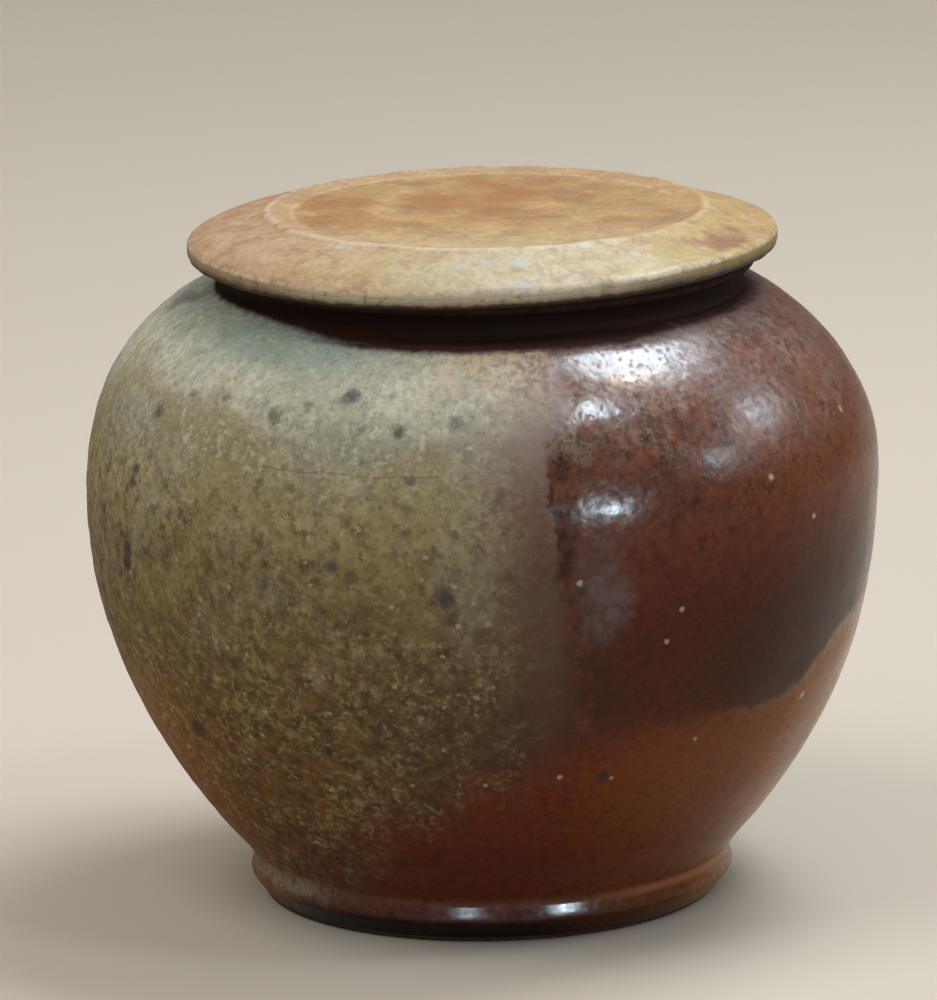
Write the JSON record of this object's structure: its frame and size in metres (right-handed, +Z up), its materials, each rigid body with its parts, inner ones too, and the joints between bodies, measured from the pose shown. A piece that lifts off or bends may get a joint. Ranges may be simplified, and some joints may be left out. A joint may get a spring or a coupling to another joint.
{
  "type": "bean pot",
  "caption": "Round stoneware bean pot with a low foot, a full belly and a short neck, and a loose flat lid that lifts off.",
  "frame": {"origin": "on the surface that the pot stands on, at the centre of its foot", "axes": "+Z up along the axis of turning; -Y is the side that faces the viewer, with the ash glaze towards -X"},
  "size_m": [0.18, 0.18, 0.1581],
  "materials": {
    "pot_glaze": "two-tone reduction glaze: dull olive ash on one side, glossy red-brown on the other",
    "lid_glaze": "dry ochre ash glaze with a low sheen"
  },
  "bodies": {
    "pot": {"pot": "pot_glaze"},
    "lid": {"lid": "lid_glaze"}
  },
  "joints": [
    {"name": "lid_lift", "type": "slide", "parent": "pot", "child": "lid", "axis": [0, 0, 1], "range_m": [0, 0.08]}
  ]
}
